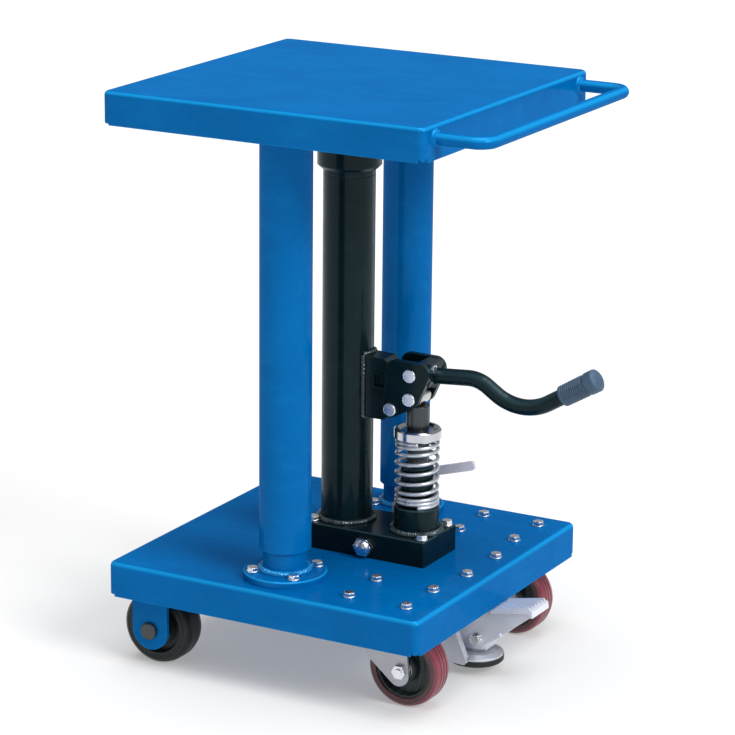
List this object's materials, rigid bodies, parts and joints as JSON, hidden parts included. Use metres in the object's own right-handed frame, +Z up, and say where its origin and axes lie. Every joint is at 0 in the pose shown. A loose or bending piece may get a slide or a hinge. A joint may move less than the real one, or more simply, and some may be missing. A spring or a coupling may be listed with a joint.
{
  "type": "hydraulic lift table",
  "caption": "Foot-pumped hydraulic lift table: square platform on telescoping guide posts and a ram, with a wheeled base, push handle, swivel casters and a floor lock.",
  "frame": {"origin": "on the floor under the lifting ram, the centre of the square platform and base", "axes": "+X towards the operator's side with the foot pedal, handle and swivel casters, +Y from the near guide post to the far one, +Z up along the lifting direction"},
  "size_m": [0.5941, 0.456, 0.761],
  "materials": {
    "blue_paint": "gloss powder coat",
    "black_paint": "satin black enamel",
    "zinc": "bright zinc plating",
    "fastener_zinc": "bright zinc-plated fasteners",
    "hard_chrome": "polished hard chrome",
    "phosphated_steel": "dark oiled steel",
    "spring_steel": "zinc-plated spring wire",
    "bearing_steel": "ground steel",
    "bronze": "oiled bronze",
    "nylon": "natural nylon",
    "seal": "polyurethane seal",
    "polyurethane": "maroon polyurethane",
    "black_plastic": "black moulded core",
    "black_wheel": "black wheel material",
    "rubber": "black rubber foot",
    "grip": "slate vinyl grip"
  },
  "bodies": {
    "chassis": {"base_deck": "blue_paint", "base_ribs": "blue_paint", "m8_bolts": "fastener_zinc", "m8_nuts": "fastener_zinc", "block_bolts": "fastener_zinc", "post_flanges": "blue_paint", "guide_posts": "blue_paint", "post_bushes": "nylon", "pump_block": "black_paint", "relief_valve_cap": "fastener_zinc", "cylinder_tube": "black_paint", "cylinder_gland": "black_paint", "gland_bush": "bronze", "wiper_seal": "seal", "pump_barrel": "black_paint", "pump_seal": "seal", "pump_spring": "spring_steel", "lever_bracket": "black_paint", "release_valve_body": "black_paint", "caster_plates": "zinc", "caster_kingpins": "fastener_zinc", "caster_balls": "bearing_steel", "rigid_brackets": "blue_paint", "rigid_axles": "phosphated_steel", "lock_bracket": "zinc", "lock_pivot_pin": "fastener_zinc"},
    "lift": {"platform": "blue_paint", "platform_ribs": "blue_paint", "platform_handle": "blue_paint", "guide_sleeves": "blue_paint", "sleeve_bushes": "nylon", "ram_pad": "blue_paint", "ram": "hard_chrome", "ram_piston": "bearing_steel", "piston_seal": "seal"},
    "foot_lever": {"lever_head": "black_paint", "lever_pins": "fastener_zinc", "pedal_tube": "black_paint", "pedal_grip": "grip"},
    "roller": {"lever_roller": "bearing_steel"},
    "pump_plunger": {"pump_piston": "phosphated_steel", "spring_cap": "zinc"},
    "release": {"release_lever": "zinc", "release_spindle": "fastener_zinc"},
    "swivel_near": {"caster_fork_near": "zinc", "caster_axle_near": "fastener_zinc"},
    "swivel_far": {"caster_fork_far": "zinc", "caster_axle_far": "fastener_zinc"},
    "front_wheel_near": {"caster_hub_near": "black_plastic", "caster_bearings_near": "bearing_steel", "caster_tread_near": "polyurethane"},
    "front_wheel_far": {"caster_hub_far": "black_plastic", "caster_bearings_far": "bearing_steel", "caster_tread_far": "polyurethane"},
    "rear_wheel_near": {"rigid_wheel_near": "black_wheel"},
    "rear_wheel_far": {"rigid_wheel_far": "black_wheel"},
    "lock_treadle": {"lock_pedal": "zinc", "lock_drive_pin": "fastener_zinc"},
    "lock_foot": {"lock_stem": "zinc", "lock_pad": "rubber"}
  },
  "joints": [
    {"name": "platform_lift", "type": "slide", "parent": "chassis", "child": "lift", "axis": [0, 0, 1], "range_m": [0, 0.44]},
    {"name": "pedal_pivot", "type": "hinge", "parent": "chassis", "child": "foot_lever", "pos_m": [0.077, 0, 0.341], "axis": [0, 1, 0], "range_deg": [0, 30], "stiffness_Nm_per_rad": 12, "springref_deg": -20.05},
    {"name": "roller_spin", "type": "hinge", "parent": "foot_lever", "child": "roller", "pos_m": [0.1045, 0, 0.358], "axis": [0, 1, 0], "continuous": true},
    {"name": "piston_stroke", "type": "slide", "parent": "chassis", "child": "pump_plunger", "axis": [0, 0, -1], "range_m": [0, 0.0165], "deforming": ["pump_spring"]},
    {"name": "release_pivot", "type": "hinge", "parent": "chassis", "child": "release", "pos_m": [0.045, 0, 0.163], "axis": [0, 1, 0], "range_deg": [0, 20], "stiffness_Nm_per_rad": 0.6, "springref_deg": -34.38},
    {"name": "lock_pedal_pivot", "type": "hinge", "parent": "chassis", "child": "lock_treadle", "pos_m": [0.165, 0, 0.075], "axis": [0, 1, 0], "range_deg": [0, 21.07]},
    {"name": "lock_foot_slide", "type": "slide", "parent": "chassis", "child": "lock_foot", "axis": [0, 0, -1], "range_m": [0, 0.013]},
    {"name": "caster_swivel_near", "type": "hinge", "parent": "chassis", "child": "swivel_near", "pos_m": [0.15, -0.1515, 0.12], "axis": [0, 0, 1], "continuous": true},
    {"name": "front_wheel_spin_near", "type": "hinge", "parent": "swivel_near", "child": "front_wheel_near", "pos_m": [0.177, -0.1515, 0.05], "axis": [0, 1, 0], "continuous": true},
    {"name": "rear_wheel_spin_near", "type": "hinge", "parent": "chassis", "child": "rear_wheel_near", "pos_m": [-0.1744, -0.178, 0.05], "axis": [0, 1, 0], "continuous": true},
    {"name": "caster_swivel_far", "type": "hinge", "parent": "chassis", "child": "swivel_far", "pos_m": [0.15, 0.1515, 0.12], "axis": [0, 0, 1], "continuous": true},
    {"name": "front_wheel_spin_far", "type": "hinge", "parent": "swivel_far", "child": "front_wheel_far", "pos_m": [0.177, 0.1515, 0.05], "axis": [0, 1, 0], "continuous": true},
    {"name": "rear_wheel_spin_far", "type": "hinge", "parent": "chassis", "child": "rear_wheel_far", "pos_m": [-0.1744, 0.178, 0.05], "axis": [0, 1, 0], "continuous": true}
  ],
  "couplings": [
    {"joint": "piston_stroke", "follows": "pedal_pivot", "m_per_rad": 0.0306},
    {"joint": "lock_foot_slide", "follows": "lock_pedal_pivot", "m_per_rad": 0.03535}
  ]
}
